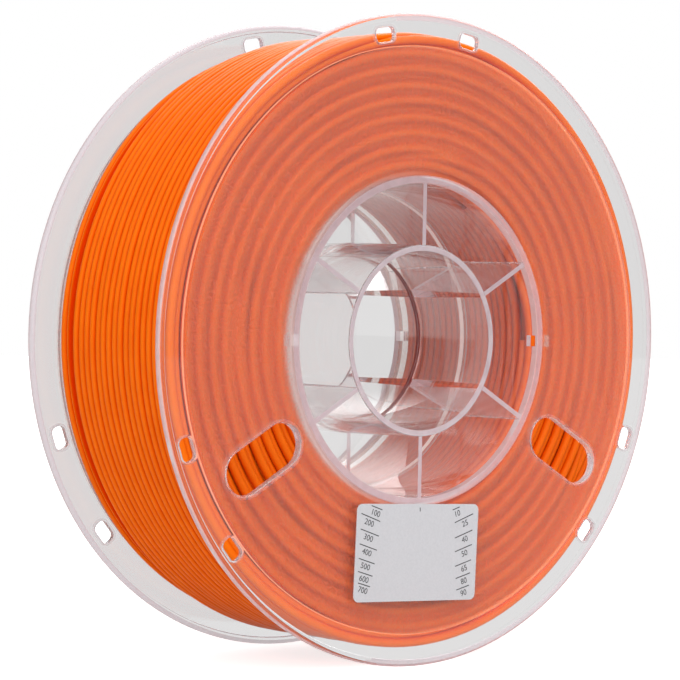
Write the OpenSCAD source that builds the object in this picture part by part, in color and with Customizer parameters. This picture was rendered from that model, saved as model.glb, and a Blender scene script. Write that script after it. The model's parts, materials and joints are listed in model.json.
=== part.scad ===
// Filament spool: two clear moulded halves that meet at mid width, the filament wound
// on their drum, and a paper label.
//
// The spool stands on its rims. Its axis lies along Y, the labelled front faces -Y, +Z is
// up, and the origin is the middle of the bore. Each piece is drawn about a Z axis with the
// front at +Z, and stand() turns it upright. Angles are seen from the front, from +X.

/* [Flanges] */
// Diameter over the flange rims
flange_d = 200; // [190:1:230]
// Width over the two rims
spool_w = 68; // [56:1:90]
// Thickness of a flange's frosted web
web_t = 3.2; // [2.6:0.1:5]
// Thickness of the clear margin outside the web
margin_t = 2.1; // [2:0.1:2.6]
// Radial width of the clear margin
margin_w = 10; // [9:0.5:14]
// Diameter of the bead round the rim
bead_d = 2.6; // [2.4:0.1:4]
// How far a flange's flat face lies behind its rim
face_recess = 0.4; // [0.2:0.1:0.8]

/* [Hub] */
// Bore that turns on a holder's spindle
bore_d = 55; // [30:1:60]
// Wall of the bore tube at its mouth
tube_wall = 1.9; // [1.2:0.1:3]
// Diameter of the drum that the filament is wound on
drum_d = 100; // [84:1:110]
// Wall of the drum at its mouth
drum_wall = 1.7; // [1.4:0.1:3]
// Ribs between bore tube and drum
rib_count = 6; // [3:1:9]
// Thickness of a rib at its mouth
rib_t = 1.45; // [1:0.05:3]
// Draft of the ribs and of the pocket walls between them, in degrees
draft = 1.2; // [0.5:0.1:1.5]
// Gap between the two halves where they meet
seam_gap = 0.1; // [0.05:0.05:0.3]
// Depth of the lap that lines the halves up
lap_depth = 2; // [1:0.5:4]
// Width of the start holes in the drum, which grip the filament's inner end
start_w = 3.5; // [3.2:0.1:5]
// Length of a start hole along the axis
start_l = 3.9; // [3.2:0.1:6]
// Plastic left between a start hole and the flange's face
start_skin = 1; // [0.6:0.1:1.6]

/* [Windows] */
// Width of a window between its straight edges
window_w = 13.4; // [8:0.2:16]
// Length of a window, along a radius
window_l = 28.9; // [20:0.1:32]
// Rounding of a window's edges
window_edge = 1.1; // [0.4:0.1:1.2]
// Angle between the spool's bottom and each window
window_tilt = 60; // [30:1:75]

/* [Rim slots] */
// Pairs of slots round each rim, which hold the filament's free end
slot_pairs = 3; // [2:1:4]
// Angle from the middle of a pair to each slot
slot_spread = 10.4; // [8:0.1:14]
// Width of a slot along the rim
slot_w = 7; // [5:0.1:9]
// Height of a slot along a radius
slot_h = 4.4; // [4:0.1:5]
// Rounding of a slot's corners
slot_corner = 1.6; // [0.8:0.1:1.9]
// Rounding of a slot's edges
slot_edge = 0.8; // [0.3:0.1:1]

/* [Filament] */
// Diameter of the filament
strand_d = 2.85; // [2.6:0.05:2.9]
// Distance from one turn to the next
turn_pitch = 2.9; // [2.9:0.05:3.3]
// Diameter over the finished winding
wound_d = 189; // [180:1:190]
// Turns of the last layer before it drops beside the rear flange
upper_turns = 15.75; // [12:0.25:17]
// How far the last turns lie below the others
drop = 2.8; // [2:0.1:4]
// Clearance of the winding to drum and flanges
seat = 0.3; // [0.2:0.05:0.4]

/* [Label] */
// Width of the label
label_w = 49.3; // [30:0.1:60]
// Height of the label
label_h = 29.8; // [20:0.1:32]
// Thickness of the label
label_t = 0.2; // [0.1:0.05:0.35]
// Rounding of the label's corners
label_corner = 2; // [1:0.1:4]
// How far the label sits left of the middle
label_shift = 0.8; // [0:0.1:4]
// How far the label is turned clockwise, in degrees
label_turn = 2; // [0:0.1:4]

/* [Hidden] */
$fn = 96;
eps = 0.01;

flange_r = flange_d / 2;
drum_r = drum_d / 2;
bore_r = bore_d / 2;
bead_r = bead_d / 2;
web_r = flange_r - margin_w;
face_z = spool_w / 2 - face_recess;
web_z = face_z - web_t;
margin_z = face_z - margin_t;
seam_z = seam_gap / 2;
taper = face_z * tan(draft);
drum_in_r = drum_r - drum_wall;
tube_out_r = bore_r + tube_wall;
lap_r = drum_r - drum_wall / 2 - seam_gap;
rib_start = 30;

window_r = (drum_r + web_r) / 2;
slot_r = flange_r - bead_d / 2 - margin_w / 2 + slot_edge / 2;
top = 90;
start_reach = drum_r + start_l;

strand_r = strand_d / 2;
ring_sides = 6;
rings = 24;
ring_step = 360 / rings;
flat_r = strand_r * cos(180 / ring_sides);
upper_r = wound_d / 2 - strand_r;
lower_r = upper_r - drop;
first_z = web_z - seat - strand_r;
drop_ring = round(upper_turns * rings);
drop_rings = 8;
last_ring = floor((2 * first_z) / turn_pitch * rings);
last_z = first_z - turn_pitch * last_ring / rings;
leave_ring = last_ring - 3;
rise_rings = 4;
cross_rings = 3;
end_ring = leave_ring + rise_rings + cross_rings;
tuck_bend = 6.5;
tuck_z = -margin_z + strand_r / 2;
cross_z = tuck_z + tuck_bend;
dive_bend = 1.4 * strand_d;
free_slot = top - 360 / slot_pairs - slot_spread;
end_angle = free_slot + asin(tuck_bend / slot_r);
first_angle = end_angle + end_ring * ring_step;
core_step_z = first_z - turn_pitch * upper_turns + flat_r + seat;
chord = cos(ring_step / 2);
core_upper_r = (upper_r - strand_r) * chord - seat;
core_lower_r = (lower_r - strand_r) * chord - seat;
nested = sqrt(strand_d * strand_d - turn_pitch * turn_pitch / 4);
inner_layers = ceil((core_upper_r - drum_r - seat - strand_d) / nested) + 1;
drum_turns = ceil(2 * end_turn_z(0) / turn_pitch) + 1;

label_r = (drum_r + window_r) / 2 + label_h / 6;

// Turns a piece drawn about Z so that it stands on its rims.
module stand() {
    rotate([90, 0, 0])
        children();
}

// ---- Holes with rounded edges ----

// Half of the section of a hole through a plate from z0 to z1, half_w wide, edges rounded.
module eased_section(half_w, z0, z1, edge) {
    translate([0, z0 - eps])
        square([half_w, z1 - z0 + 2 * eps]);
    difference() {
        translate([half_w - eps, z0 - eps])
            square([edge + eps, edge + eps]);
        translate([half_w + edge, z0 + edge])
            circle(edge);
    }
    difference() {
        translate([half_w - eps, z1 - edge])
            square([edge + eps, edge + eps]);
        translate([half_w + edge, z1 - edge])
            circle(edge);
    }
}

// A straight run of that section along X, length long.
module eased_run(length, half_w, z0, z1, edge) {
    translate([-length / 2, 0, 0])
        rotate([90, 0, 90])
            linear_extrude(length)
                for (side = [0, 1])
                    mirror([side, 0])
                        eased_section(half_w, z0, z1, edge);
}

// A hole length by width through a plate, with rounded corners and edges.
module eased_hole(length, width, corner, z0, z1, edge) {
    long_run = length - 2 * corner;
    short_run = width - 2 * corner;
    eased_run(long_run, width / 2, z0, z1, edge);
    if (short_run > eps)
        rotate([0, 0, 90])
            eased_run(short_run, length / 2, z0, z1, edge);
    for (x = [-1, 1], y = short_run > eps ? [-1, 1] : [0])
        translate([x * long_run / 2, y * short_run / 2, 0])
            rotate_extrude()
                eased_section(corner, z0, z1, edge);
}

// ---- The moulded halves ----

// Section of one flange: frosted web, thinner clear margin and the bead round its rim.
module flange_section() {
    translate([drum_in_r + eps, web_z])
        square([web_r - drum_in_r, web_t]);
    translate([web_r - eps, margin_z])
        square([margin_w - bead_r, margin_t]);
    translate([flange_r - bead_r, spool_w / 2 - bead_r])
        circle(bead_r);
}

// Sections of the drum and the bore tube, thinner at the mouth than at the seam.
module hub_section() {
    polygon([[drum_r, seam_z], [drum_r, face_z], [drum_in_r, face_z], [drum_in_r - taper, seam_z]]);
    polygon([[bore_r, seam_z], [bore_r, face_z], [tube_out_r, face_z], [tube_out_r + taper, seam_z]]);
}

// One rib, from the bore tube's wall to the drum's.
module rib() {
    root_t = rib_t + 2 * taper;
    inner = bore_r + tube_wall / 2;
    outer = drum_r - drum_wall / 2;
    translate([inner, 0, 0])
        rotate([90, 0, 90])
            linear_extrude(outer - inner)
                polygon([
                    [-root_t / 2, seam_z], [root_t / 2, seam_z],
                    [rib_t / 2, face_z], [-rib_t / 2, face_z]
                ]);
}

module windows() {
    for (side = [-1, 1])
        rotate([0, 0, -top + side * window_tilt])
            translate([window_r, 0, 0])
                eased_hole(window_l, window_w, window_w / 2, web_z, face_z, window_edge);
}

module rim_slots() {
    for (i = [0 : slot_pairs - 1], side = [-1, 1])
        rotate([0, 0, top + i * 360 / slot_pairs + side * slot_spread])
            translate([slot_r, 0, 0])
                rotate([0, 0, 90])
                    eased_hole(slot_w, slot_h, slot_corner, margin_z, face_z, slot_edge);
}

// Holes through the drum's wall with a short channel in the flange's inner side.
module start_holes() {
    inner = drum_in_r - taper;
    for (side = [0, 180])
        rotate([0, 0, side])
            translate([inner, -start_w / 2, face_z - start_skin - start_l])
                cube([start_reach - inner, start_w, start_l]);
}

// One moulded half, drawn as the front one.
module half() {
    difference() {
        union() {
            rotate_extrude($fn = 180)
                union() {
                    flange_section();
                    hub_section();
                }
            for (i = [0 : rib_count - 1])
                rotate([0, 0, rib_start + i * 360 / rib_count])
                    rib();
        }
        windows();
        rim_slots();
        start_holes();
    }
}

// The front half carries the lap's tongue, on the inner side of its drum wall.
module front_half() {
    color("whitesmoke", 0.45)
        stand() {
            half();
            rotate_extrude($fn = 180)
                polygon([
                    [drum_in_r - taper, -lap_depth], [lap_r, -lap_depth],
                    [lap_r, 2 * seam_z], [drum_in_r - taper, 2 * seam_z]
                ]);
        }
}

// The rear half is the same moulding, with room for the tongue.
module rear_half() {
    rebate_in = drum_in_r - taper - seam_gap;
    rebate_out = lap_r + seam_gap;
    color("whitesmoke", 0.45)
        stand()
            difference() {
                mirror([0, 0, 1])
                    half();
                rotate_extrude($fn = 180)
                    translate([rebate_in, -lap_depth - seam_gap])
                        square([rebate_out - rebate_in, lap_depth + seam_gap]);
            }
}

// ---- The winding ----

function er(a) = [cos(a), sin(a), 0];

// The way the strand runs from its inner end to its free end: clockwise from the front.
function along(a) = [sin(a), -cos(a), 0];

// Place along the axis of the last turn of inner layer i: the one under the outer layer
// lies half a turn further in, and so does every second one below it.
function end_turn_z(i) = first_z - (inner_layers - i) % 2 * turn_pitch / 2;

function ease(t) = let (c = min(1, max(0, t))) c * c * (3 - 2 * c);

// Radius and place along the axis of ring i of the turns.
function turn_r(i) =
    upper_r - drop * ease((i - drop_ring) / drop_rings)
    + (slot_r - lower_r) * ease((i - leave_ring) / rise_rings);

function turn_z(i) =
    first_z - turn_pitch * min(i, last_ring) / rings
    + (cross_z - last_z) * ease((i - leave_ring - rise_rings + 1) / (cross_rings + 1));

// The strand's path, as [point, outward direction] for each ring: out of the inner layers,
// round the turns, then over the last of them and through a slot in the rear flange.
dive_r = upper_r - dive_bend;
dive_path = concat(
    [for (s = [0, 1])
        [(dive_r - strand_d * (1 - s)) * er(first_angle) - dive_bend * along(first_angle) + [0, 0, first_z],
         -along(first_angle)]],
    [for (q = [67.5, 45, 22.5])
        [(dive_r + dive_bend * cos(q)) * er(first_angle) - dive_bend * sin(q) * along(first_angle)
             + [0, 0, first_z],
         cos(q) * er(first_angle) - sin(q) * along(first_angle)]]);
turn_path = [for (i = [0 : end_ring])
    let (a = first_angle - ring_step * i)
    [turn_r(i) * er(a) + [0, 0, turn_z(i)], er(a)]];
tuck_start = turn_path[end_ring][0];
tuck_path = concat(
    [for (q = [22.5 : 22.5 : 90])
        [tuck_start + tuck_bend * sin(q) * along(end_angle) - [0, 0, tuck_bend * (1 - cos(q))],
         er(end_angle)]],
    [[[0, 0, -face_z + strand_r / 2 - tuck_start[2]] + tuck_start + tuck_bend * along(end_angle),
      er(end_angle)]]);
strand_path = concat(dive_path, turn_path, tuck_path);

function unit(v) = v / norm(v);

// Corners of the strand's section at ring k: flat sides face the turns beside it.
function section(k) =
    let (
        n = len(strand_path),
        p = strand_path[k][0],
        t = unit(strand_path[min(k + 1, n - 1)][0] - strand_path[max(k - 1, 0)][0]),
        v = strand_path[k][1],
        up = unit(v - (v * t) * t),
        side = cross(t, up)
    )
    [for (j = [0 : ring_sides - 1])
        p + strand_r * (cos(j * 360 / ring_sides) * up + sin(j * 360 / ring_sides) * side)];

// Least distance between the corners of rings at least most of a turn apart.
function least_gap(sections) =
    let (n = len(sections), from = rings - 5, to = 3 * rings + 6)
    min([for (i = [0 : n - from - 1], j = [i + from : min(i + to, n - 1)])
        if (norm(sections[i][0] - sections[j][0]) < 3 * strand_d)
            min([for (p = sections[i], q = sections[j]) norm(p - q)])]);

module filament_outer_layer() {
    n = len(strand_path);
    m = ring_sides;
    sections = [for (k = [0 : n - 1]) section(k)];
    walls = [for (k = [0 : n - 2], j = [0 : m - 1])
        let (a = k * m + j, b = k * m + (j + 1) % m)
        each [[a, b, b + m], [a, b + m, a + m]]];
    inner_end = [for (j = [1 : m - 2]) [0, j + 1, j]];
    free_end = [for (j = [1 : m - 2]) [(n - 1) * m, (n - 1) * m + j, (n - 1) * m + j + 1]];
    echo(loops = (end_ring + 1) / rings, least_gap_mm = least_gap(sections));
    color("darkorange")
        stand()
            polyhedron(points = [for (s = sections) each s], faces = concat(walls, inner_end, free_end));
}

// Section of one turn, with the sides that the last layer's strand has.
module turn_section() {
    polygon([for (j = [0 : ring_sides - 1])
        strand_r * [cos(j * 360 / ring_sides), sin(j * 360 / ring_sides)]]);
}

// Section of the layers under the last one, within their outline: the turns at the drum
// and at both ends of each layer stand out as rings.
module layers_section(bottom_r, end_z) {
    first_r = bottom_r + strand_r;
    layer_step = (core_upper_r - strand_r - first_r) / (inner_layers - 1);
    middle_z = end_z - strand_r - turn_pitch / 4;
    intersection() {
        polygon([
            [bottom_r, -end_z], [core_lower_r, -end_z], [core_lower_r, core_step_z],
            [core_upper_r, core_step_z], [core_upper_r, end_z], [bottom_r, end_z]
        ]);
        union() {
            translate([first_r - strand_r / 2, -middle_z])
                square([core_upper_r - first_r + strand_r / 2, 2 * middle_z]);
            for (i = [0 : inner_layers - 1], side = [-1, 1])
                translate([first_r + i * layer_step, side * end_turn_z(i)])
                    turn_section();
            for (i = [1 : drum_turns - 2])
                translate([first_r, (2 * i / (drum_turns - 1) - 1) * end_turn_z(0)])
                    turn_section();
        }
    }
}

// The layers under the last one, as one ring with a pocket that the strand comes out of.
module filament_inner_layers() {
    bottom_r = drum_r + seat;
    end_z = web_z - seat;
    pocket = strand_d + 2 * seat;
    pocket_floor = dive_r - strand_d - seat;
    color("orange")
        stand()
            difference() {
                rotate_extrude($fn = 180)
                    layers_section(bottom_r, end_z);
                rotate([0, 0, first_angle])
                    translate([pocket_floor, -pocket / 2, first_z - pocket / 2])
                        cube([core_upper_r, pocket / 2 + dive_bend + pocket / 2, pocket]);
            }
}

// ---- The label ----

module label() {
    run = [label_w - 2 * label_corner, label_h - 2 * label_corner];
    color("white")
        stand()
            translate([-label_shift, -label_r, face_z])
                rotate([0, 0, -label_turn])
                    linear_extrude(label_t)
                        union() {
                            square([label_w, run[1]], center = true);
                            square([run[0], label_h], center = true);
                            for (x = [-1, 1], y = [-1, 1])
                                translate([x * run[0] / 2, y * run[1] / 2])
                                    circle(label_corner);
                        }
}

front_half();
rear_half();
filament_inner_layers();
filament_outer_layer();
label();
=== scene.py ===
# %% [markdown]
# # A clear filament spool
# A full spool stands on its two rims: two clear moulded halves, a paper label, and a
# winding of orange filament. Everything here is in metres, in the frame of the packed
# model: the spool's axis is Y, its labelled front faces -Y, and +Z is up.

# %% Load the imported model
import json
import math

import bmesh
import bpy
from mathutils import Matrix, Vector


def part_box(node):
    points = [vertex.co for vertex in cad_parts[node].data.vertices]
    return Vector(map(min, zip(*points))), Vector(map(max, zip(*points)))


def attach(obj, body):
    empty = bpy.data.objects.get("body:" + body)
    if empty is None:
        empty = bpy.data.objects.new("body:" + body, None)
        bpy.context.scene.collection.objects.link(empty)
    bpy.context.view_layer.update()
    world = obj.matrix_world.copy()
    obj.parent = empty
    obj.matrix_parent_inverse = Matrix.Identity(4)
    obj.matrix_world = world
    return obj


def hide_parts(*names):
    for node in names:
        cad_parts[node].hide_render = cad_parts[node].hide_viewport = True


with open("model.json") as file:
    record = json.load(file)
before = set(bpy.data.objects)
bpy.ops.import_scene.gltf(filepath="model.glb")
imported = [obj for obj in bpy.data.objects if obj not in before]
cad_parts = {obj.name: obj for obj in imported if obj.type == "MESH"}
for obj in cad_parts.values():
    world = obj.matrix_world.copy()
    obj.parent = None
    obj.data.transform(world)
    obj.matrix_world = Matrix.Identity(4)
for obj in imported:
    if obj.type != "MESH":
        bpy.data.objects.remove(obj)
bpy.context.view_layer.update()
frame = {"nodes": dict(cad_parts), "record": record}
MM = 0.001

# %% [markdown]
# ## Sizes
# The flange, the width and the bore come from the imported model, so the dressed spool
# fills the same space. The walls of the moulding are the few values that a drawing of
# the spool would also give.

# %% Driving sizes
front_low, front_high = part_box("front_half")
bore = next(m["dims"] for m in frame["record"]["mounts"] if m["name"] == "spindle_bore")
FLANGE_R = front_high.x
HALF_W = -front_low.y
BORE_R = bore["r_mm"] * MM
FACE = bore["length_mm"] / 2 * MM
BEAD_R = 1.3 * MM
WEB_T = 3.2 * MM
MARGIN_T = 2.1 * MM
MARGIN_W = 10 * MM
DRUM_R = 50 * MM
DRUM_WALL = 1.7 * MM
TUBE_WALL = 1.9 * MM
RIB_T = 1.45 * MM
DRAFT = math.radians(1.2)
SEAM = 0.05 * MM
LAP_R = DRUM_R - DRUM_WALL / 2 - 2 * SEAM
LAP_DEPTH = 2 * MM
WEB_Z = FACE - WEB_T
MARGIN_Z = FACE - MARGIN_T
WEB_R = FLANGE_R - MARGIN_W
TAPER = FACE * math.tan(DRAFT)
print(f"flange radius {FLANGE_R / MM:.1f} mm, half width {HALF_W / MM:.1f} mm")

# %% [markdown]
# ## Mesh helpers
# Each half is modelled lying down, with its axis along Z and its mouth at the top, then
# stood up. A revolved outline gives walls that are truly round, which matters more in
# clear plastic than anywhere else: every facet would bend the light behind it.

# %% Put an object in the scene
def in_scene(name, data):
    """A new object that shows a mesh, a text, a lamp or a camera."""
    thing = bpy.data.objects.new(name, data)
    bpy.context.scene.collection.objects.link(thing)
    return thing


def shown_mesh(thing):
    """A mesh of what an object shows, with its modifiers or its letters worked out."""
    shown = thing.evaluated_get(bpy.context.evaluated_depsgraph_get())
    return bpy.data.meshes.new_from_object(shown)


# %% Make a piece from points and faces
CLEAR, FROSTED, EDGE, RIM, STEP_GLOW, SEAM_SHADE, SEAM_GLOW, WEB_GLOW = range(8)
BOX_FACES = ((3, 2, 1, 0), (4, 5, 6, 7), (0, 1, 5, 4), (1, 2, 6, 5), (2, 3, 7, 6), (3, 0, 4, 7))


def new_piece(name, points, faces, finishes=None):
    """A mesh object from points and faces, with a finish number for each face."""
    mesh = bpy.data.meshes.new(name)
    mesh.from_pydata(points, [], faces)
    piece = in_scene(name, mesh)
    if finishes is not None:
        for material in moulding_finishes:
            mesh.materials.append(material)
        mesh.polygons.foreach_set("material_index", finishes)
    mesh.update()
    return piece


# %% Turn a piece
def turned(piece, degrees):
    """Turns a piece about the Z axis that it is drawn about."""
    piece.data.transform(Matrix.Rotation(math.radians(degrees), 4, "Z"))
    return piece


def stand(piece):
    """Turns a piece drawn about Z so that its top faces the front, -Y."""
    piece.data.transform(Matrix.Rotation(math.radians(90), 4, "X"))
    return piece


# %% Revolve an outline
def revolved(name, outline, steps=240):
    """A ring from a closed outline of (radius, height, finish of the side that follows)."""
    points, faces, finishes = [], [], []
    count = len(outline)
    for i in range(steps):
        turn = 2 * math.pi * i / steps
        points += [(r * math.cos(turn), r * math.sin(turn), z) for r, z, _ in outline]
    for i in range(steps):
        here, there = i * count, (i + 1) % steps * count
        for j in range(count):
            k = (j + 1) % count
            faces.append((here + j, here + k, there + k, there + j))
            finishes.append(outline[j][2])
    return new_piece(name, points, faces, finishes)


def arc(centre, radius, first, last, steps, finish):
    """Points along an arc of an outline, from one angle to another, in degrees."""
    x, y = centre
    angles = [math.radians(first + (last - first) * i / steps) for i in range(steps + 1)]
    return [(x + radius * math.cos(a), y + radius * math.sin(a), finish) for a in angles]


# %% Join and cut solids
def combined(piece, tools, operation):
    """Adds the tools to a piece, or cuts them from it, and takes the tools away."""
    for tool in tools:
        step = piece.modifiers.new(operation.title(), "BOOLEAN")
        step.operation = operation
        step.solver = "MANIFOLD"
        step.object = tool
    mesh = shown_mesh(piece)
    piece.modifiers.clear()
    piece.data = mesh
    for tool in tools:
        bpy.data.objects.remove(tool)
    return piece


def smoothed(piece, angle=32):
    """Shades a piece smooth except across edges sharper than the angle, in degrees."""
    piece.data.shade_smooth()
    piece.data.set_sharp_from_angle(angle=math.radians(angle))
    return piece


def flattened(piece):
    """Lets the large faces decide how light bends, so that a small rounding at a wall's end
    doesn't turn the whole wall into a lens."""
    step = piece.modifiers.new("Weighted normals", "WEIGHTED_NORMAL")
    step.keep_sharp = True
    step.weight = 100
    return piece


# %% [markdown]
# ## Finishes of the moulding
# The spool is one clear plastic with two mould finishes. The web between drum and rim was
# spark-eroded, so its outer face scatters light and blurs the turns behind it. The rest was
# polished. A clear wall seen edge-on pipes light along itself and looks pale and milky,
# so the ends of the walls, the rims and the edges of the openings carry more haze, which
# is painted piped light. Piped light leaves again at the step beside the winding, with the
# filament's colour, and at the web's inner edge on the left, which looks pale: both are
# painted glows. Where the halves meet, the bore tube's wall loses light and the drum's wall
# catches it, so on the right of the hub one seam has painted shade and the other a painted
# glow.
#
# Each finish is glass mixed with a little plain haze. Piped light could be traced for real,
# but that takes far more light paths than a short render has, so the painted haze and glow
# stand for it.
# Light has to reach the filament through the plastic, so for shadow and diffuse rays the
# shader turns into a transparent one, which takes away a few per cent at each surface.

# %% A group for fine uneven marks
NOISE_LOW, NOISE_HIGH = 0.3, 0.7


def uneven_group():
    """Fine moulding marks: values that wander between Low and High at a given Scale."""
    group = bpy.data.node_groups.new("Uneven surface", "ShaderNodeTree")
    for name in ("Scale", "Low", "High"):
        group.interface.new_socket(name=name, in_out="INPUT", socket_type="NodeSocketFloat")
    group.interface.new_socket(name="Value", in_out="OUTPUT", socket_type="NodeSocketFloat")
    nodes, links = group.nodes, group.links
    given, result = nodes.new("NodeGroupInput"), nodes.new("NodeGroupOutput")
    where = nodes.new("ShaderNodeTexCoord")
    noise = nodes.new("ShaderNodeTexNoise")
    noise.inputs["Detail"].default_value = 3
    spread = nodes.new("ShaderNodeMapRange")
    spread.inputs["From Min"].default_value = NOISE_LOW
    spread.inputs["From Max"].default_value = NOISE_HIGH
    links.new(where.outputs["Object"], noise.inputs["Vector"])
    links.new(given.outputs["Scale"], noise.inputs["Scale"])
    links.new(noise.outputs["Fac"], spread.inputs["Value"])
    links.new(given.outputs["Low"], spread.inputs["To Min"])
    links.new(given.outputs["High"], spread.inputs["To Max"])
    links.new(spread.outputs["Result"], result.inputs["Value"])
    return group


uneven = uneven_group()
print(f"{uneven.name}: {len(uneven.nodes)} nodes")


def wander(nodes, scale, low, high):
    """A value that wanders over the surface, from the shared group."""
    node = nodes.new("ShaderNodeGroup")
    node.node_tree = uneven
    node.inputs["Scale"].default_value = scale
    node.inputs["Low"].default_value = low
    node.inputs["High"].default_value = high
    return node.outputs["Value"]


def on_one_side(nodes, links, value, none_at, full_at):
    """A value that grows from nothing to the whole across the spool, between two places on X."""
    where = nodes.new("ShaderNodeTexCoord")
    parts = nodes.new("ShaderNodeSeparateXYZ")
    fade = nodes.new("ShaderNodeMapRange")
    fade.inputs["From Min"].default_value = none_at
    fade.inputs["From Max"].default_value = full_at
    links.new(where.outputs["Object"], parts.inputs["Vector"])
    links.new(parts.outputs["X"], fade.inputs["Value"])
    links.new(value, fade.inputs["To Max"])
    return fade.outputs["Result"]


# %% Start a material
def new_material(name):
    """A material with its nodes, its links and its Principled shader."""
    material = bpy.data.materials.new(name)
    material.use_nodes = True
    tree = material.node_tree
    return material, tree.nodes, tree.links, tree.nodes["Principled BSDF"]


def mixed(nodes, links, share, first, second):
    """A shader mixed with a share of another, either a plain number or a node's output."""
    mix = nodes.new("ShaderNodeMixShader")
    if isinstance(share, float):
        mix.inputs["Fac"].default_value = share
    else:
        links.new(share, mix.inputs["Fac"])
    links.new(first, mix.inputs[1])
    links.new(second, mix.inputs[2])
    return mix.outputs["Shader"]


def either_ray(nodes, links, *rays):
    """1 for two kinds of ray and 0 for all others."""
    path = nodes.new("ShaderNodeLightPath")
    either = nodes.new("ShaderNodeMath")
    either.operation = "MAXIMUM"
    for i, ray in enumerate(rays):
        links.new(path.outputs[ray], either.inputs[i])
    return either.outputs["Value"]


# %% Haze
HAZE_ROUGHNESS = 0.45
LIT_BEHIND = 0.4


def haze_shader(nodes, links, colour, painted_glow):
    """Milky plastic, lit from both sides. Where piped light leaves it, a painted glow is added as
    faint emission.
    """
    lit = nodes.new("ShaderNodeBsdfPrincipled")
    lit.inputs["Base Color"].default_value = (*colour, 1)
    lit.inputs["Roughness"].default_value = HAZE_ROUGHNESS
    lit.inputs["Emission Color"].default_value = (*colour, 1)
    lit.inputs["Emission Strength"].default_value = painted_glow
    from_behind = nodes.new("ShaderNodeBsdfTranslucent")
    from_behind.inputs["Color"].default_value = (*colour, 1)
    return mixed(nodes, links, LIT_BEHIND, lit.outputs["BSDF"], from_behind.outputs["BSDF"])


# %% Clear plastic
PLASTIC_IOR = 1.57
LET_THROUGH = (0.97, 0.96, 0.96)


def moulded(name, tint, roughness, haze, haze_colour, grain, side=None, painted_glow=0):
    """Clear plastic: glass with a share of haze in it. Roughness and haze each wander between
    two values. Where a side is given, the haze, there painted shade or glow, grows from none
    between two places on X, so that it shows only on one side of the hub."""
    material, nodes, links, glass = new_material(name)
    glass.inputs["Base Color"].default_value = (*tint, 1)
    glass.inputs["IOR"].default_value = PLASTIC_IOR
    glass.inputs["Transmission Weight"].default_value = 1
    links.new(wander(nodes, grain, *roughness), glass.inputs["Roughness"])
    milk = haze_shader(nodes, links, haze_colour, painted_glow)
    amount = wander(nodes, grain / 2, *haze)
    if side:
        amount = on_one_side(nodes, links, amount, *side)
    body = mixed(nodes, links, amount, glass.outputs["BSDF"], milk)
    lighting = either_ray(nodes, links, "Is Shadow Ray", "Is Diffuse Ray")
    let_through = nodes.new("ShaderNodeBsdfTransparent")
    let_through.inputs["Color"].default_value = (*LET_THROUGH, 1)
    surface = mixed(nodes, links, lighting, body, let_through.outputs["BSDF"])
    links.new(surface, nodes["Material Output"].inputs["Surface"])
    material.cycles.emission_sampling = "NONE"
    return material


# %% The finishes, in the order of their numbers
FINE, MEDIUM, LARGE = 2500, 600, 300
# The painted seam shade and seam glow show only on the right of the hub, the web's painted glow only
# on the left.
RIGHT_PART = (-5 * MM, 15 * MM)
LEFT_PART = (5 * MM, -35 * MM)
moulding_finishes = [
    moulded("Polished clear plastic", (0.985, 0.975, 0.975), roughness=(0.005, 0.03),
            haze=(0.004, 0.012), haze_colour=(0.75, 0.7, 0.7), grain=LARGE),
    # The frosted web's haze is real, but its orange is a painted glow from the lit filament behind
    # it.
    moulded("Frosted clear plastic", (0.99, 0.93, 0.88), roughness=(0.4, 0.52),
            haze=(-0.12, 0.32), haze_colour=(1.0, 0.36, 0.22), grain=FINE),
    # The haze of edges, rims, the step and the seams is painted piped light; the step and the pale
    # seam also emit a painted glow.
    moulded("Clear plastic edge with painted piped light", (0.97, 0.94, 0.96), roughness=(0.05, 0.12),
            haze=(0.55, 0.66), haze_colour=(0.85, 0.75, 0.81), grain=MEDIUM),
    moulded("Rounded clear rim with painted piped light", (0.97, 0.95, 0.96), roughness=(0.02, 0.07),
            haze=(0.16, 0.26), haze_colour=(0.74, 0.68, 0.72), grain=MEDIUM),
    moulded("Clear step with a painted glow", (0.97, 0.9, 0.85), roughness=(0.1, 0.2),
            haze=(0.75, 0.85), haze_colour=(1.0, 0.4, 0.19), grain=MEDIUM, painted_glow=0.9),
    moulded("Painted shade at the seam", (0.9, 0.6, 0.55), roughness=(0.1, 0.2),
            haze=(0.85, 0.95), haze_colour=(0.26, 0.03, 0.025), grain=MEDIUM, side=RIGHT_PART),
    moulded("Painted glow at the seam", (0.97, 0.95, 0.94), roughness=(0.1, 0.2),
            haze=(0.75, 0.85), haze_colour=(1.0, 0.9, 0.86), grain=MEDIUM, side=RIGHT_PART, painted_glow=0.5),
    moulded("Painted glow at the web's inner edge", (0.99, 0.93, 0.9), roughness=(0.3, 0.4),
            haze=(0.45, 0.55), haze_colour=(0.92, 0.74, 0.7), grain=FINE, side=LEFT_PART),
]
print("moulding finishes:", [m.name for m in moulding_finishes])

# %% [markdown]
# ## The moulded halves
# A half could be one revolve with everything cut from it, but ribs are easier to add than
# to leave over. So the flange with its drum wall, the bore tube and the ribs are made
# apart, joined into one solid, and then the windows, the rim slots and the start holes are
# cut, each with the rounded edge that a mould tool gives.

# %% Flange and drum
SOFT_EDGE = 0.25 * MM
MOUTH_BAND = 2.4 * MM
SEAM_BAND = 1.8 * MM
GLOW_FROM, GLOW_TO = DRUM_R + 0.6 * MM, DRUM_R + 2 * MM
BEAD_TURN = 55
BEAD_FOOT = 0.3 * MM
DRUM_CHAMFER = 0.4 * MM


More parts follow.
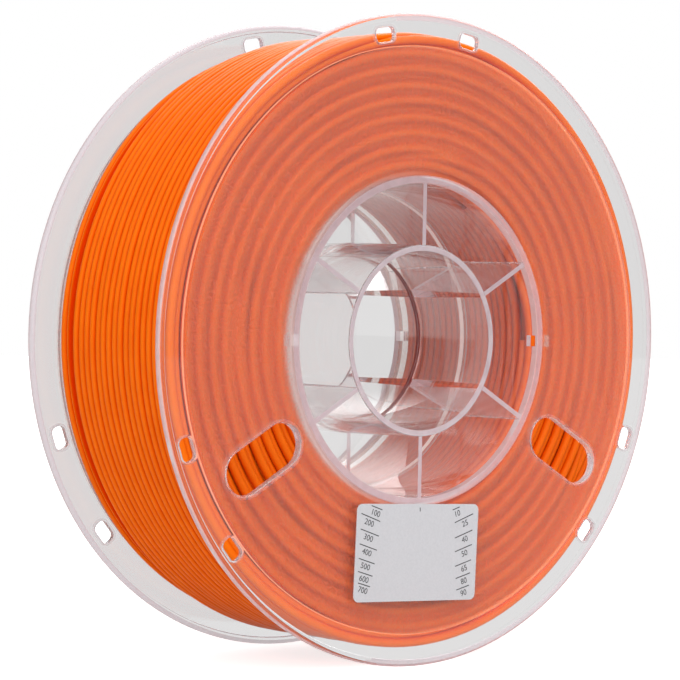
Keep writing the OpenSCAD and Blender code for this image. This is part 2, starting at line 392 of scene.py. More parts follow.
def flange_outline(tongue):
    """Outline of flange and drum: out along the face, round the bead and back inside. Bands
    at the seam, at the mouth and round the web's inner edge have finishes of their own, with
    painted glow or haze that stands for piped light."""
    inner = DRUM_R - DRUM_WALL
    bead = (FLANGE_R - BEAD_R, HALF_W - BEAD_R)
    rise = math.degrees(math.asin((FACE - bead[1]) / BEAD_R))
    start = -LAP_DEPTH if tongue else SEAM
    wall = STEP_GLOW if tongue else RIM
    outline = [(inner - TAPER, start, SEAM_GLOW), (inner - TAPER, start + SEAM_BAND, CLEAR)]
    outline += [(inner, FACE - MOUTH_BAND, EDGE)]
    outline += arc((inner + SOFT_EDGE, FACE - SOFT_EDGE), SOFT_EDGE, 180, 90, 3, EDGE)
    outline += [(GLOW_FROM, FACE, WEB_GLOW), (GLOW_TO, FACE, FROSTED), (WEB_R, FACE, CLEAR)]
    outline += arc(bead, BEAD_R, 180 - rise, BEAD_TURN, 10, CLEAR)[:-1]
    outline += arc(bead, BEAD_R, BEAD_TURN, -90, 12, EDGE)
    outline[-1] = (bead[0], bead[1] - BEAD_R, CLEAR)
    outline += [(bead[0] - BEAD_FOOT, MARGIN_Z, CLEAR), (WEB_R + SOFT_EDGE, MARGIN_Z, wall)]
    outline += arc((WEB_R, WEB_Z + SOFT_EDGE), SOFT_EDGE, 0, -90, 3, wall)
    outline[-1] = (WEB_R, WEB_Z, CLEAR)
    outline += [(DRUM_R + DRUM_CHAMFER, WEB_Z, CLEAR), (DRUM_R, WEB_Z - DRUM_CHAMFER, CLEAR)]
    outline += [(DRUM_R, SEAM, EDGE)]
    if tongue:
        outline += [(LAP_R, SEAM, CLEAR), (LAP_R, -LAP_DEPTH, EDGE)]
    return outline


# %% Bore tube
# The band at the seam inside the bore carries painted shade.
TUBE_SEAM_BAND = 0.9 * MM


def tube_outline():
    """Outline of the bore tube: a straight bore inside and a drafted wall outside."""
    outer = BORE_R + TUBE_WALL
    outline = [(BORE_R, SEAM, SEAM_SHADE), (BORE_R, SEAM + TUBE_SEAM_BAND, CLEAR)]
    outline += arc((BORE_R + SOFT_EDGE, FACE - SOFT_EDGE), SOFT_EDGE, 180, 90, 3, EDGE)
    outline += arc((outer - SOFT_EDGE, FACE - SOFT_EDGE), SOFT_EDGE, 90, 0, 3, CLEAR)
    outline += [(outer + TAPER, SEAM, CLEAR)]
    return outline


# %% Ribs
RIBS = 6
FIRST_RIB = 30
RIB_SET_BACK = 0.15 * MM


def rib(turn):
    """One drafted rib from the bore tube's wall to the drum's, thinner at its mouth."""
    inner = BORE_R + TUBE_WALL / 2
    outer = DRUM_R - DRUM_WALL / 2
    root, tip = RIB_T / 2 + TAPER, RIB_T / 2
    top = FACE - RIB_SET_BACK
    section = [(-root, SEAM), (root, SEAM), (tip, top), (-tip, top)]
    points = [(x, y, z) for x in (inner, outer) for y, z in section]
    finishes = [CLEAR, CLEAR, EDGE, CLEAR, EDGE, CLEAR]
    return turned(new_piece("rib", points, BOX_FACES, finishes), turn)


# %% Outline of an opening
def outline_at(length, width, corner, grow, z, steps=8):
    """A rounded rectangle, grown on all sides, at one height."""
    along, across, r = length / 2 + grow, width / 2 + grow, corner + grow
    points = []
    for quarter, (sx, sy) in enumerate(((1, 1), (-1, 1), (-1, -1), (1, -1))):
        centre = (sx * (along - r), sy * (across - r))
        for i in range(steps + 1):
            a = math.radians(90 * (quarter + i / steps))
            points.append((centre[0] + r * math.cos(a), centre[1] + r * math.sin(a), z))
    return points


# %% Openings with rounded edges
def opening(length, width, corner, edge, low, high, turn, radius, lengthwise, steps=6):
    """A cutter for an opening whose edges are rounded on both sides of the plate."""
    levels = [(edge, low - MM)]
    for i in range(steps + 1):
        a = math.radians(90 * i / steps)
        levels.append((edge * (1 - math.sin(a)), low + edge * (1 - math.cos(a))))
    levels += [(grow, low + high - z) for grow, z in reversed(levels)]
    loops = [outline_at(length, width, corner, grow, z) for grow, z in levels]
    count = len(loops[0])
    points = [p for loop in loops for p in loop]
    faces = [tuple(reversed(range(count)))]
    for k in range(len(loops) - 1):
        for j in range(count):
            i = (j + 1) % count
            a, b = k * count, (k + 1) * count
            faces.append((a + j, a + i, b + i, b + j))
    faces.append(tuple(range((len(loops) - 1) * count, len(loops) * count)))
    piece = new_piece("opening", points, faces, [RIM] * len(faces))
    if not lengthwise:
        turned(piece, 90)
    piece.data.transform(Matrix.Translation((radius, 0, 0)))
    return turned(piece, turn)


# %% Start holes
START_W, START_L, START_SKIN = 3.5 * MM, 3.9 * MM, 1.0 * MM


def start_hole(turn):
    """A square hole through the drum's wall that goes on as a short channel in the web."""
    low = Vector((DRUM_R - DRUM_WALL - TAPER - MM, -START_W / 2, FACE - START_SKIN - START_L))
    high = Vector((DRUM_R + START_L, START_W / 2, FACE - START_SKIN))
    points = [(x, y, z) for x in (low.x, high.x) for y in (low.y, high.y) for z in (low.z, high.z)]
    faces = [(0, 1, 3, 2), (4, 6, 7, 5), (0, 4, 5, 1), (2, 3, 7, 6), (0, 2, 6, 4), (1, 5, 7, 3)]
    finishes = [EDGE, CLEAR, EDGE, EDGE, EDGE, CLEAR]
    return turned(new_piece("start_hole", points, faces, finishes), turn)


# %% Room for the tongue
def rebate():
    """A ring cut from the rear half, which the front half's tongue goes into."""
    inner, outer = DRUM_R - DRUM_WALL - TAPER - MM, LAP_R + 2 * SEAM
    low, high = -MM, LAP_DEPTH + 2 * SEAM
    corners = [(inner, low, EDGE), (inner, high, EDGE), (outer, high, CLEAR), (outer, low, EDGE)]
    return revolved("rebate", corners)


# %% Windows, rim slots and start holes
WINDOW_L, WINDOW_W, WINDOW_EDGE = 28.9 * MM, 13.4 * MM, 1.1 * MM
WINDOW_CORNER = WINDOW_W / 2 - 0.01 * MM
WINDOW_R = (DRUM_R + WEB_R) / 2
SLOT_L, SLOT_W, SLOT_EDGE, SLOT_CORNER = 7 * MM, 4.4 * MM, 0.8 * MM, 1.6 * MM
SLOT_R = FLANGE_R - BEAD_R - MARGIN_W / 2 + SLOT_EDGE / 2
TOP, SLOT_PAIRS, SLOT_SPREAD = 90, 3, 10.4


def cutters():
    """All the openings of one half: two windows, six rim slots and two start holes."""
    tools = []
    for turn in (210, 330):
        tools.append(opening(WINDOW_L, WINDOW_W, WINDOW_CORNER, WINDOW_EDGE,
                             WEB_Z, FACE, turn, WINDOW_R, lengthwise=True))
    for pair in range(SLOT_PAIRS):
        for side in (-1, 1):
            turn = TOP + pair * 360 / SLOT_PAIRS + side * SLOT_SPREAD
            tools.append(opening(SLOT_L, SLOT_W, SLOT_CORNER, SLOT_EDGE,
                                 MARGIN_Z, FACE, turn, SLOT_R, lengthwise=False))
    return tools + [start_hole(turn) for turn in (0, 180)]


# %% Build both halves
def moulded_half(name, node, tongue):
    """One half of the spool as a single closed solid."""
    piece = revolved(name, flange_outline(tongue))
    tube = revolved("tube", tube_outline())
    ribs = [rib(FIRST_RIB + 360 / RIBS * i) for i in range(RIBS)]
    combined(piece, [tube] + ribs, "UNION")
    combined(piece, cutters() + ([] if tongue else [rebate()]), "DIFFERENCE")
    if not tongue:
        piece.data.transform(Matrix.Scale(-1, 4, (0, 0, 1)))
        piece.data.flip_normals()
    stand(flattened(smoothed(piece)))
    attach(piece, "root")
    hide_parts(node)
    print(name, "has", len(piece.data.polygons), "faces")


moulded_half("front_moulding", "front_half", tongue=True)
moulded_half("rear_moulding", "rear_half", tongue=False)

# %% [markdown]
# ## The filament
# The winding is far too long to model strand by strand, but every turn that can be seen is
# here at its real diameter. The last layer is one unbroken strand. Where the layers below
# end at a flange, the strand comes in, climbs to the next layer and goes back, and those
# turns show through the clear plastic. Behind them is a plain core.
#
# A turn runs square to the axis for most of its way and then crosses to the next place
# beside it, as on a spool wound by machine.

# %% Layers and places of the turns
STRAND_R = 2.85 / 2 * MM
PITCH = 2.85 * MM
PLAY = 0.1 * MM
TOP_R = 189 / 2 * MM - STRAND_R
LAYERS = 18
LAST_TURN = 20
STEP_R = (TOP_R - DRUM_R - STRAND_R - PLAY) / (LAYERS - 1)
FIRST = WEB_Z - STRAND_R - PLAY
LAYER_WANDER = 0.28 * MM


def layer_r(layer):
    """Radius of a layer's turns; all but the outer two and the first lie a little off."""
    middle = 0 < layer < LAYERS - 2
    off = middle * LAYER_WANDER * math.sin(2.9 * layer * layer)
    return TOP_R - (LAYERS - 1 - layer) * STEP_R + off


def nested(layer):
    """Whether a layer lies half a turn further in, as every second one does."""
    return (LAYERS - 1 - layer) % 2


def place(layer, turn):
    """Radius and height of a turn, counted from the front flange."""
    return layer_r(layer), FIRST - (turn + nested(layer) / 2) * PITCH


def last_turn(layer):
    """The number of a layer's turn at the rear flange."""
    return LAST_TURN - nested(layer)


print(f"{LAYERS} layers, {STEP_R / MM:.2f} mm apart, of up to {LAST_TURN + 1} turns")

# %% Path of a strand round its turns
RINGS = 144
CROSSING = 0.14
LIFT, SWAY, RIPPLE = 0.09 * MM, 0.05 * MM, 0.03 * MM


def ease(t):
    """Goes from 0 to 1 with a gentle start and end, and stays there."""
    t = min(1, max(0, t))
    return t * t * (3 - 2 * t)


def crossed(share):
    """How far a turn has crossed to its next place, at a share of its way round."""
    return ease((share - 1 + CROSSING) / CROSSING)


def outward_at(turn):
    """The direction away from the axis at an angle, in radians."""
    return Vector((math.cos(turn), math.sin(turn), 0))


def wobble(turn, lane):
    """Small unevenness of a turn, the same on each run: how far out of its place it lies."""
    lift = LIFT * math.sin(2.4 * lane * lane + 1.3 * lane)
    return lift + SWAY * math.sin(3 * turn + 2.4 * lane) + RIPPLE * math.sin(7 * turn + 5.1 * lane)


def turns_path(places, start, rings=RINGS):
    """Points of a strand that stays one turn at each place, clockwise from the front."""
    path = []
    for i in range(len(places) * rings):
        lane, share = divmod(i, rings)
        following = places[min(lane + 1, len(places) - 1)]
        shift = crossed(share / rings)
        r = places[lane][0] * (1 - shift) + following[0] * shift
        z = places[lane][1] * (1 - shift) + following[1] * shift
        turn = start - 2 * math.pi * i / rings
        outward = outward_at(turn)
        path.append((outward * (r + wobble(turn, lane)) + Vector((0, 0, z)), outward))
    return path


# %% How much painted shade each point of a strand has in its groove
def groove_shade_depths(count, sides, open_side, deepest, lies):
    """A depth of painted groove shade for each point of a strand of so many rings. A turn that
    lies differently has its own open side, least depth and deepest, from where it crosses to its
    place."""
    usual, special = (open_side, 0, deepest), dict(lies)
    depths = []
    for k in range(count):
        lane, share = divmod(k, RINGS)
        now, after = special.get(lane, usual), special.get(lane + 1, usual)
        blend = crossed(share / RINGS)
        side, least, most = (a * (1 - blend) + b * blend for a, b in zip(now, after))
        for j in range(sides):
            away = 2 * math.pi * j / sides - math.radians(side)
            depths.append(max(least, most * (0.5 - 0.5 * math.cos(away))))
    return depths


# %% A round strand along a path
SIDES, HIDDEN_SIDES = 12, 8
SHOWN_R = 0.998 * STRAND_R


def strand(name, path, sides=SIDES, open_side=15, deepest=1, lies=()):
    """A round strand along a path of points, each with the direction away from the axis.
    Its open side, where its painted groove shade is least, is an angle round it: 0 faces away from
    the axis and 90 the front."""
    points, faces = [], []
    count = len(path)
    for k in range(count):
        along = (path[min(k + 1, count - 1)][0] - path[max(k - 1, 0)][0]).normalized()
        up = (path[k][1] - path[k][1].dot(along) * along).normalized()
        side = along.cross(up)
        for j in range(sides):
            a = 2 * math.pi * j / sides
            points.append(path[k][0] + SHOWN_R * (math.cos(a) * up + math.sin(a) * side))
    for k in range(count - 1):
        for j in range(sides):
            i = (j + 1) % sides
            faces.append((k * sides + j, k * sides + i, (k + 1) * sides + i, (k + 1) * sides + j))
    faces.append(tuple(reversed(range(sides))))
    faces.append(tuple(range((count - 1) * sides, count * sides)))
    piece = new_piece(name, points, faces)
    groove_shade = piece.data.attributes.new("groove_shade", "FLOAT", "POINT")
    groove_shade.data.foreach_set("value", groove_shade_depths(count, sides, open_side, deepest, lies))
    return piece


# %% [markdown]
# ### The filament's finish
# Extruded filament is satin and slightly translucent, so light that enters a groove between
# two turns comes back redder and darker, never grey. Light alone could give that, but only
# after many bounces between the turns. So the strand carries that shade painted in, as an
# attribute which is 0 on its open side and 1 on the side away from it: the colour deepens
# with it and the sheen goes. Colour and gloss also wander a little along the strand. Turns
# behind a flange or on the drum get less light, so they have darker colours of their own,
# which are painted shade.

# %% Mix two colours
COLOUR_A, COLOUR_B, COLOUR_OUT = 6, 7, 2


def colour_mix(nodes, links, factor, first, second):
    """A colour between two, each either plain numbers or another node's output. The node's
    colour sockets are known by their numbers, because other sockets have the same names."""
    mix = nodes.new("ShaderNodeMix")
    mix.data_type = "RGBA"
    links.new(factor, mix.inputs["Factor"])
    for end, colour in ((COLOUR_A, first), (COLOUR_B, second)):
        if isinstance(colour, tuple):
            mix.inputs[end].default_value = (*colour, 1)
        else:
            links.new(colour, mix.inputs[end])
    return mix.outputs[COLOUR_OUT]


# %% Filament material
# Where the painted groove shade reaches its full colour, and where the sheen fades in the grooves.
FULL_COLOUR_AT = 0.25
SHEEN = 0.09
SHEEN_FROM, SHEEN_GONE = 0.02, 0.12


def filament_material(name, colour, wandered, painted_shade):
    """Satin plastic of one colour, with another that it wanders to, and a darker one painted in its
    grooves as shade.
    """
    material, nodes, links, surface = new_material(name)
    surface.inputs["IOR"].default_value = 1.5
    surface.inputs["Subsurface Weight"].default_value = 0.12
    surface.inputs["Subsurface Radius"].default_value = (1.0, 0.2, 0.05)
    surface.inputs["Subsurface Scale"].default_value = 1.2 * MM
    outer = colour_mix(nodes, links, wander(nodes, scale=90, low=0, high=1), colour, wandered)
    groove_shade = nodes.new("ShaderNodeAttribute")
    groove_shade.attribute_name = "groove_shade"
    depth = nodes.new("ShaderNodeMapRange")
    depth.inputs["From Max"].default_value = FULL_COLOUR_AT
    links.new(groove_shade.outputs["Fac"], depth.inputs["Value"])
    shine = nodes.new("ShaderNodeMapRange")
    shine.inputs["From Min"].default_value = SHEEN_FROM
    shine.inputs["From Max"].default_value = SHEEN_GONE
    shine.inputs["To Min"].default_value = SHEEN
    shine.inputs["To Max"].default_value = 0
    links.new(groove_shade.outputs["Fac"], shine.inputs["Value"])
    links.new(shine.outputs["Result"], surface.inputs["Specular IOR Level"])
    shown = colour_mix(nodes, links, depth.outputs["Result"], outer, painted_shade)
    links.new(shown, surface.inputs["Base Color"])
    links.new(wander(nodes, scale=900, low=0.3, high=0.42), surface.inputs["Roughness"])
    return material


orange = filament_material("Orange filament", (1.0, 0.19, 0.003),
                           wandered=(0.94, 0.165, 0.002), painted_shade=(0.78, 0.04, 0.0002))
# Darker copies of the orange, as painted shade for turns that get less light.
behind = filament_material("Filament behind a flange in painted shade", (0.85, 0.14, 0.002),
                           wandered=(0.79, 0.12, 0.002), painted_shade=(0.68, 0.055, 0.0005))
on_drum = filament_material("Filament on the drum in painted shade", (0.74, 0.1, 0.001),
                            wandered=(0.68, 0.085, 0.001), painted_shade=(0.5, 0.03, 0.0003))
shade = filament_material("Filament in shadow", (0.55, 0.06, 0.002),
                          wandered=(0.48, 0.05, 0.002), painted_shade=(0.4, 0.03, 0.001))

# %% [markdown]
# ### The last layer
# It starts in the layer below at the front flange, climbs, lays its turns side by side and
# then drops beside the rear flange, where the layer isn't full. The free end rises over the
# last turns, crosses them and is tucked through a slot in the rear rim.
#
# Most turns are open to the outside. The first three stand beside the front flange, and the
# ones below the step lie in the shade of the turn above them, so each of those is given its
# open side in degrees and the least and the most of its painted shade: the step's shadow is
# painted on the turns below it, and shade on those beside the flange.

# %% The free end
FREE_SLOT = math.radians(TOP - 360 / SLOT_PAIRS - SLOT_SPREAD)
TUCK_BEND = 6.5 * MM
TUCK_STEPS = 8
CROSS_START = FREE_SLOT + math.asin(TUCK_BEND / SLOT_R)
RISEN_AT, CROSS_FROM = 0.55, 0.45


def free_end(path):
    """Adds the strand's end: up over the last turns, across them and through the slot."""
    point, outward = path[-1]
    r0, z0 = point.xy.length, point.z
    turn0 = math.atan2(point.y, point.x)
    cross_z = -MARGIN_Z + STRAND_R / 2 + TUCK_BEND
    sweep = (turn0 - CROSS_START) % (2 * math.pi)
    steps = int(sweep / (2 * math.pi) * RINGS)
    for i in range(1, steps + 1):
        share = i / steps
        outward = outward_at(turn0 - sweep * share)
        r = r0 + (SLOT_R - r0) * ease(share / RISEN_AT)
        z = z0 + (cross_z - z0) * ease((share - CROSS_FROM) / (1 - CROSS_FROM))
        path.append((outward * r + Vector((0, 0, z)), outward))
    point = path[-1][0]
    along = Vector((math.sin(CROSS_START), -math.cos(CROSS_START), 0))
    for i in range(1, TUCK_STEPS + 1):
        a = math.radians(90 * i / TUCK_STEPS)
        bend = math.sin(a) * along - Vector((0, 0, 1 - math.cos(a)))
        path.append((point + TUCK_BEND * bend, outward))
    end = path[-1][0].copy()
    end.z = -FACE + STRAND_R / 2
    path.append((end, outward))
    return path


# %% Lay the last layer
UPPER_TURNS = 17
RISE_TURN = 0.3
top_places = [place(LAYERS - 2, 1), place(LAYERS - 2, 0)]
BELOW_STEP = len(top_places) + UPPER_TURNS
top_places += [place(LAYERS - 1, n) for n in range(UPPER_TURNS)]
top_places += [place(LAYERS - 2, n) for n in range(UPPER_TURNS - 1, last_turn(LAYERS - 2) + 1)]
AT_FLANGE, CLIMBING, BESIDE_FLANGE = (90, 0, 0.3), (60, 0, 0.25), (50, 0, 0.25)
SHADED_UNDER_STEP, SHADED_FROM_STEP = (-50, 1, 1), (-32, 0, 1)
top_lies = ((0, AT_FLANGE), (1, CLIMBING), (2, BESIDE_FLANGE),
            (BELOW_STEP, SHADED_UNDER_STEP), (BELOW_STEP + 1, SHADED_UNDER_STEP), (BELOW_STEP + 2, SHADED_FROM_STEP))
top_path = turns_path(top_places, CROSS_START + RISE_TURN * 2 * math.pi)
last_layer = stand(strand("filament_last_layer", free_end(top_path), lies=top_lies))
print("last layer:", len(top_places), "turns")

# %% [markdown]
# ### Ends of the hidden layers
# At each flange a pair of layers is joined by one climbing turn. The pairs alternate
# between the two flanges.

# %% Join strands
def joined(name, strands):
    """Several strands as one piece of separate closed solids."""
    body = bmesh.new()
    for part in strands:
        body.from_mesh(part.data)
        bpy.data.objects.remove(part)
    bmesh.ops.remove_doubles(body, verts=body.verts, dist=1e-7)
    mesh = bpy.data.meshes.new(name)
    body.to_mesh(mesh)
    body.free()
    return in_scene(name, mesh)


# %% Lay the turns at the flanges
PAIR_RINGS = 120
PAIR_TURN = math.radians(25)
UNDER_START = 0.4
TO_FRONT, TO_REAR, TO_AXIS = 90, -90, 180


def flange_pair(low, at_front):
    """The strand's turns where two layers meet at a flange."""
    ends = (0, 1) if at_front else (last_turn(low), last_turn(low) - 1)
    above = (0, 1) if at_front else (last_turn(low + 1), last_turn(low + 1) - 1)
    places = [place(low, ends[1]), place(low, ends[0])]
    places += [place(low + 1, above[0]), place(low + 1, above[1])]
    path = turns_path(places, PAIR_TURN * low, PAIR_RINGS)
    facing = TO_FRONT if at_front else TO_REAR
    return strand("pair", path, sides=HIDDEN_SIDES, open_side=facing, deepest=0.35)


def under_step():
    """The two turns at the rear flange that show beside the last layer's lower turns."""
    layer = LAYERS - 3
    path = turns_path([place(layer, last_turn(layer) - n) for n in (0, 1)], UNDER_START, PAIR_RINGS)
    return strand("under", path, sides=HIDDEN_SIDES, open_side=TO_REAR, deepest=0.3)


front_pairs = [flange_pair(k, True) for k in range(LAYERS - 4, -1, -2)]
rear_pairs = [flange_pair(k, False) for k in range(LAYERS - 5, 0, -2)]
layer_ends = stand(joined("filament_layer_ends", front_pairs + rear_pairs + [under_step()]))
print("pairs at the front flange:", len(front_pairs), "and at the rear flange:", len(rear_pairs))

# %% Lay the first layer on the drum
DRUM_RINGS = 96
DRUM_START = 1.0
drum_places = [place(0, n) for n in range(2, last_turn(0) + 1)]
drum_path = turns_path(drum_places, DRUM_START, DRUM_RINGS)
first_layer = stand(strand("filament_first_layer", drum_path, sides=HIDDEN_SIDES,
                           open_side=TO_AXIS, deepest=0.5))
print("turns on the drum:", len(drum_places))

# %% The core behind them
INSET = 1.2 * MM
END_TURNS = 1.6


def core_outline():
    """Outline of the filament that no opening shows, a little behind the turns that show."""
    top_z, low_z = FIRST - END_TURNS * PITCH, FIRST - (LAST_TURN - END_TURNS) * PITCH
    inner, upper = layer_r(0) + INSET, TOP_R - INSET
    step_z = place(LAYERS - 1, UPPER_TURNS - 1)[1] - STRAND_R / 2
    lower = layer_r(LAYERS - 2) - INSET
    return [(inner, low_z, 0), (inner, top_z, 0), (upper, top_z, 0), (upper, step_z, 0),
            (lower, step_z, 0), (lower, low_z, 0)]


core = stand(revolved("filament_core", core_outline(), 180))
core.data.materials.clear()

# %% Finish the filament's pieces
filament = ((last_layer, orange), (layer_ends, behind), (first_layer, on_drum), (core, shade))
for piece, material in filament:
    piece.data.materials.append(material)
    smoothed(piece, angle=50)
    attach(piece, "root")
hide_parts("filament_outer_layer")
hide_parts("filament_inner_layers")
print("filament faces:", sum(len(piece.data.polygons) for piece, _ in filament))

# %% [markdown]
# ## The label
# The label is a level gauge: each line is as far from the spool's axis as the winding is
# when that much filament is left, so the lines lie along circles about the axis. The paper
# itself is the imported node. The print is thin raised ink, with plain numbers beside the lines.

# %% Paper and ink
def paper_material():
    """White paper with faint fibres, in its colour, its sheen and its surface."""
    material, nodes, links, surface = new_material("White label paper")
    fibres = wander(nodes, scale=1500, low=0, high=1)
    white = colour_mix(nodes, links, fibres, (0.57, 0.57, 0.595), (0.61, 0.61, 0.635))
    links.new(white, surface.inputs["Base Color"])
    links.new(wander(nodes, scale=700, low=0.45, high=0.55), surface.inputs["Roughness"])
    bump = nodes.new("ShaderNodeBump")
    bump.inputs["Strength"].default_value = 0.08
    bump.inputs["Distance"].default_value = 0.05 * MM
    links.new(wander(nodes, scale=4000, low=0, high=1), bump.inputs["Height"])
    links.new(bump.outputs["Normal"], surface.inputs["Normal"])
    return material


def ink_material():
    """Black ink that is a little uneven in its sheen."""
    material, nodes, links, surface = new_material("Black label ink")
    surface.inputs["Base Color"].default_value = (0.035, 0.035, 0.04, 1)
    links.new(wander(nodes, scale=2500, low=0.4, high=0.6), surface.inputs["Roughness"])
    return material


label = frame["nodes"]["label"]
label.data.materials.clear()
label.data.materials.append(paper_material())
ink = ink_material()

# %% Place of the label
label_low, label_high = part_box("label")
LABEL_AT = (label_low + label_high) / 2
LABEL_TOP = label_low.y
LABEL_TILT = math.radians(-2)


def on_label(x, z):
    """A point of the label's print, from its place in mm on the untilted label."""
    spot = Vector((x * MM, z * MM)) @ Matrix.Rotation(-LABEL_TILT, 2)
    return Vector((LABEL_AT.x + spot.x, LABEL_TOP, LABEL_AT.z + spot.y))


def on_gauge(radius, x):
    """Where a circle about the axis crosses a place on X, in mm below the axis: the point
    on the label and the circle's slope there."""
    down = math.sqrt(radius ** 2 - x ** 2)
    return Vector((x * MM, LABEL_TOP, -down * MM)), math.atan2(x, down)


print("label's middle:", [round(v / MM, 1) for v in LABEL_AT])

# %% [markdown]
# ### The gauge
# Each line is listed by its radius about the axis, its middle's place on X and its length,
# all in mm. They lie closer together towards the rim, because a layer there holds more.

# %% Lines of the gauge
INK_T = 0.03 * MM
LEFT_LINES = ((53.5, -17.2, 4.5), (57, -19.6, 8), (61.4, -19.9, 7.6), (65.7, -20.4, 7.2),
              (69.9, -20.9, 6.6), (73.7, -21.4, 6), (77, -21.8, 5))
RIGHT_LINES = ((54.1, 15, 3), (58.1, 18.3, 8), (62.8, 18.3, 7.6), (67, 18.3, 7.2),
               (71.5, 18.3, 6.8), (75.3, 18.3, 6.2), (78.9, 18.3, 5.4))
LINE_T = 0.28 * MM
MIDDLE_MARK_AT, MIDDLE_MARK_L = (0.5, 13.2), 1.2 * MM


def bar(middle, turn, length, width):
    """A thin raised bar of ink on the label, turned in the label's plane."""
    along = Vector((math.cos(turn), 0, math.sin(turn))) * length / 2
    across = Vector((-math.sin(turn), 0, math.cos(turn))) * width / 2
    base = [middle + s * along + t * across for s, t in ((-1, -1), (1, -1), (1, 1), (-1, 1))]
    points = base + [p - Vector((0, INK_T, 0)) for p in base]
    return new_piece("bar", points, BOX_FACES)


def gauge_bars(lines):
    """One bar for each line, square to the radius that it stands for."""
    return [bar(*on_gauge(radius, x), length * MM, LINE_T) for radius, x, length in lines]


bars = gauge_bars(LEFT_LINES) + gauge_bars(RIGHT_LINES)
bars.append(bar(on_label(*MIDDLE_MARK_AT), math.radians(90), MIDDLE_MARK_L, LINE_T))
marks = joined("label_gauge_lines", bars)
print("gauge lines:", len(LEFT_LINES) + len(RIGHT_LINES))

# %% Numbers of the gauge
TEXT_SIZE = 2.565 * MM
NUMBER_DROP = 1.75 * MM
LEFT_NUMBERS = ("100", "200", "300", "400", "500", "600", "700")
RIGHT_NUMBERS = ("10", "25", "40", "50", "65", "80", "90")


def number(figure, line):
    """A plain number just outside its line, as a thin closed mesh."""
    curve = bpy.data.curves.new("number", "FONT")
    curve.body = figure
    curve.size = TEXT_SIZE
    curve.align_x = curve.align_y = "CENTER"
    curve.extrude = INK_T / 2
    text = in_scene("number", curve)
    mesh = shown_mesh(text)
    bpy.data.objects.remove(text)
    middle, turn = on_gauge(*line[:2])
    middle += NUMBER_DROP * Vector((middle.x, 0, middle.z)).normalized()
    middle.y -= INK_T / 2
    upright = Matrix.Rotation(math.radians(90), 4, "X")
    mesh.transform(Matrix.Translation(middle) @ Matrix.Rotation(-turn, 4, "Y") @ upright)
    return in_scene("number", mesh)


numbers = [number(*pair) for pair in zip(LEFT_NUMBERS, LEFT_LINES)]
numbers += [number(*pair) for pair in zip(RIGHT_NUMBERS, RIGHT_LINES)]
figures = joined("label_gauge_numbers", numbers)
for piece in (marks, figures):
    piece.data.materials.append(ink)
    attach(piece, "root")
print("gauge numbers:", len(numbers))

# %% [markdown]
# ## Stage, light and camera
# The studio is drawn in the world's own light: a broad soft light at the front left, a
# pale backdrop behind the spool, and little from elsewhere. Such light has no hard edge
# that a clear tube could mirror as a streak. The camera sees the background as white. The
# plastic shows floor and sky as one pale grey, through itself and in its reflections of the
# floor, so that no horizon shows. The floor still takes the spool's shadow.

# %% Floor
SEEN_THROUGH = 0.76
FLOOR_GLOW = 0.75
FLOOR_HALF = 3.0


def floor_material():
    """A white floor, which clear plastic sees at the same level as the sky."""
    material, nodes, links, surface = new_material("White floor")
    surface.inputs["Base Color"].default_value = (0.75, 0.75, 0.75, 1)
    surface.inputs["Roughness"].default_value = 0.9
    surface.inputs["Specular IOR Level"].default_value = 0
    surface.inputs["Emission Color"].default_value = (1, 1, 1, 1)
    path = nodes.new("ShaderNodeLightPath")
    white = nodes.new("ShaderNodeMath")
    white.operation = "MULTIPLY"
    white.inputs[1].default_value = FLOOR_GLOW
    links.new(path.outputs["Is Camera Ray"], white.inputs[0])
    links.new(white.outputs["Value"], surface.inputs["Emission Strength"])
    plain = nodes.new("ShaderNodeEmission")
    plain.inputs["Strength"].default_value = SEEN_THROUGH
    by_plastic = either_ray(nodes, links, "Is Transmission Ray", "Is Glossy Ray")
    seen = mixed(nodes, links, by_plastic, surface.outputs["BSDF"], plain.outputs["Emission"])
    links.new(seen, nodes["Material Output"].inputs["Surface"])
    return material


squared = ((-1, -1), (1, -1), (1, 1), (-1, 1))
corners = [(x * FLOOR_HALF, y * FLOOR_HALF, -FLANGE_R) for x, y in squared]
floor = new_piece("floor", corners, [(0, 1, 2, 3)])
floor.data.materials.append(floor_material())
print(f"floor {2 * FLOOR_HALF:.0f} m wide, {-FLANGE_R / MM:.0f} mm below the axis")

# %% Soft lights in the world
world = bpy.data.worlds.new("Studio")
bpy.context.scene.world = world
world.use_nodes = True
studio, wires = world.node_tree.nodes, world.node_tree.links
looking = studio.new("ShaderNodeTexCoord").outputs["Generated"]
FULL_AT = 0.95


def soft_light(direction, start, level):
    """A broad light from one direction, which fades to nothing where its cosine is start."""
    towards = studio.new("ShaderNodeVectorMath")
    towards.operation = "DOT_PRODUCT"
    towards.inputs[1].default_value = Vector(direction).normalized()
    wires.new(looking, towards.inputs[0])
    fade = studio.new("ShaderNodeMapRange")
    fade.interpolation_type = "SMOOTHSTEP"
    fade.inputs["From Min"].default_value = start
    fade.inputs["From Max"].default_value = FULL_AT
    fade.inputs["To Max"].default_value = level
    wires.new(towards.outputs["Value"], fade.inputs["Value"])
    return fade.outputs["Result"]


def added(first, second):
    """The sum of two levels, of which the second may be a plain number."""
    total = studio.new("ShaderNodeMath")
    wires.new(first, total.inputs[0])
    if isinstance(second, float):
        total.inputs[1].default_value = second
    else:
        wires.new(second, total.inputs[1])
    return total.outputs["Value"]


def seen_by(ray, level, other):
    """Changes the level to another one, or to a plain number, for one kind of ray."""
    step = studio.new("ShaderNodeMix")
    wires.new(studio["Light paths"].outputs[ray], step.inputs["Factor"])
    wires.new(level, step.inputs["A"])
    if isinstance(other, float):
        step.inputs["B"].default_value = other
    else:
        wires.new(other, step.inputs["B"])
    return step.outputs["Result"]


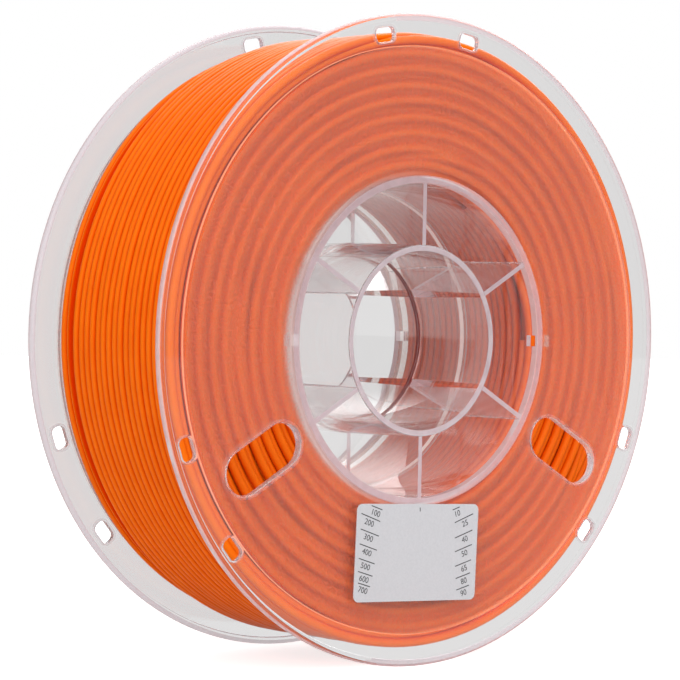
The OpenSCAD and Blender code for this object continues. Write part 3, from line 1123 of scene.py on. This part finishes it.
# %% Light the world
FRONT_LEFT, FRONT_START = (-0.38, -0.78, 0.5), 0.2
BEHIND, BACK_START = (0.62, 0.75, 0.25), 0.3
ABOVE, TOP_START = (0.5, 0.25, 0.83), 0.6


def studio_light(front, back, rest):
    """The soft light at the front left, the backdrop and the light from everywhere."""
    both = added(soft_light(FRONT_LEFT, FRONT_START, front), soft_light(BEHIND, BACK_START, back))
    return added(both, rest)


studio.new("ShaderNodeLightPath").name = "Light paths"
level = studio_light(front=1.62, back=0.85, rest=0.12)
mirrored = studio_light(front=1.25, back=0.4, rest=0.1)
mirrored = added(mirrored, soft_light(ABOVE, TOP_START, level=4.0))
level = seen_by("Is Glossy Ray", level, mirrored)
level = seen_by("Is Transmission Ray", level, SEEN_THROUGH)
level = seen_by("Is Camera Ray", level, 1.0)
studio["Background"].inputs["Color"].default_value = (1, 1, 1, 1)
wires.new(level, studio["Background"].inputs["Strength"])
print("nodes in the world:", len(studio))


# %% Lamps
LAMP_SIZE = 0.8


def lamp(name, spot, power):
    """A square soft lamp that faces the spool."""
    light = bpy.data.lights.new(name, "AREA")
    light.size = LAMP_SIZE
    light.energy = power
    holder = in_scene(name, light)
    holder.location = spot
    holder.rotation_euler = (-Vector(spot)).to_track_quat("-Z", "Y").to_euler()
    print(f"{name}: {power} W, {Vector(spot).length:.2f} m away")


lamp("overhead", (-0.25, -0.15, 1.1), power=1.4)
lamp("front_left", (-1.0, -0.95, 0.6), power=1.5)

# %% Camera
AZIMUTH, RISE_ANGLE, SPIN = (math.radians(v) for v in (-39.53, 1.97, 1.4))
DISTANCE = 889.6 * MM
AIM_RIGHT, AIM_UP = -25.58 * MM, 0.24 * MM
FOCAL_PX, PICTURE_PX = 2902.9, 680
SENSOR = 36


def add_camera():
    """A long lens, level with the hub, from the front left."""
    back = Vector((math.sin(AZIMUTH) * math.cos(RISE_ANGLE),
                   -math.cos(AZIMUTH) * math.cos(RISE_ANGLE), math.sin(RISE_ANGLE)))
    right = Vector((math.cos(AZIMUTH), math.sin(AZIMUTH), 0))
    up = back.cross(right)
    view = Matrix((right, up, back)).transposed().to_4x4()
    view.translation = back * DISTANCE + right * AIM_RIGHT + up * AIM_UP - Vector((0, HALF_W, 0))
    data = bpy.data.cameras.new("camera")
    data.sensor_width = SENSOR
    data.lens = FOCAL_PX / PICTURE_PX * SENSOR
    data.clip_start, data.clip_end = 0.05, 20
    camera = in_scene("camera", data)
    camera.matrix_world = Matrix.Rotation(-SPIN, 4, "Y") @ view
    bpy.context.scene.camera = camera
    print("camera at", [round(v / MM, 1) for v in camera.matrix_world.translation])


add_camera()

# %% Colour and light paths
scene = bpy.context.scene
scene.view_settings.view_transform = "Standard"
scene.cycles.max_bounces = 32
scene.cycles.glossy_bounces = 24
scene.cycles.transmission_bounces = 24
scene.cycles.transparent_max_bounces = 32
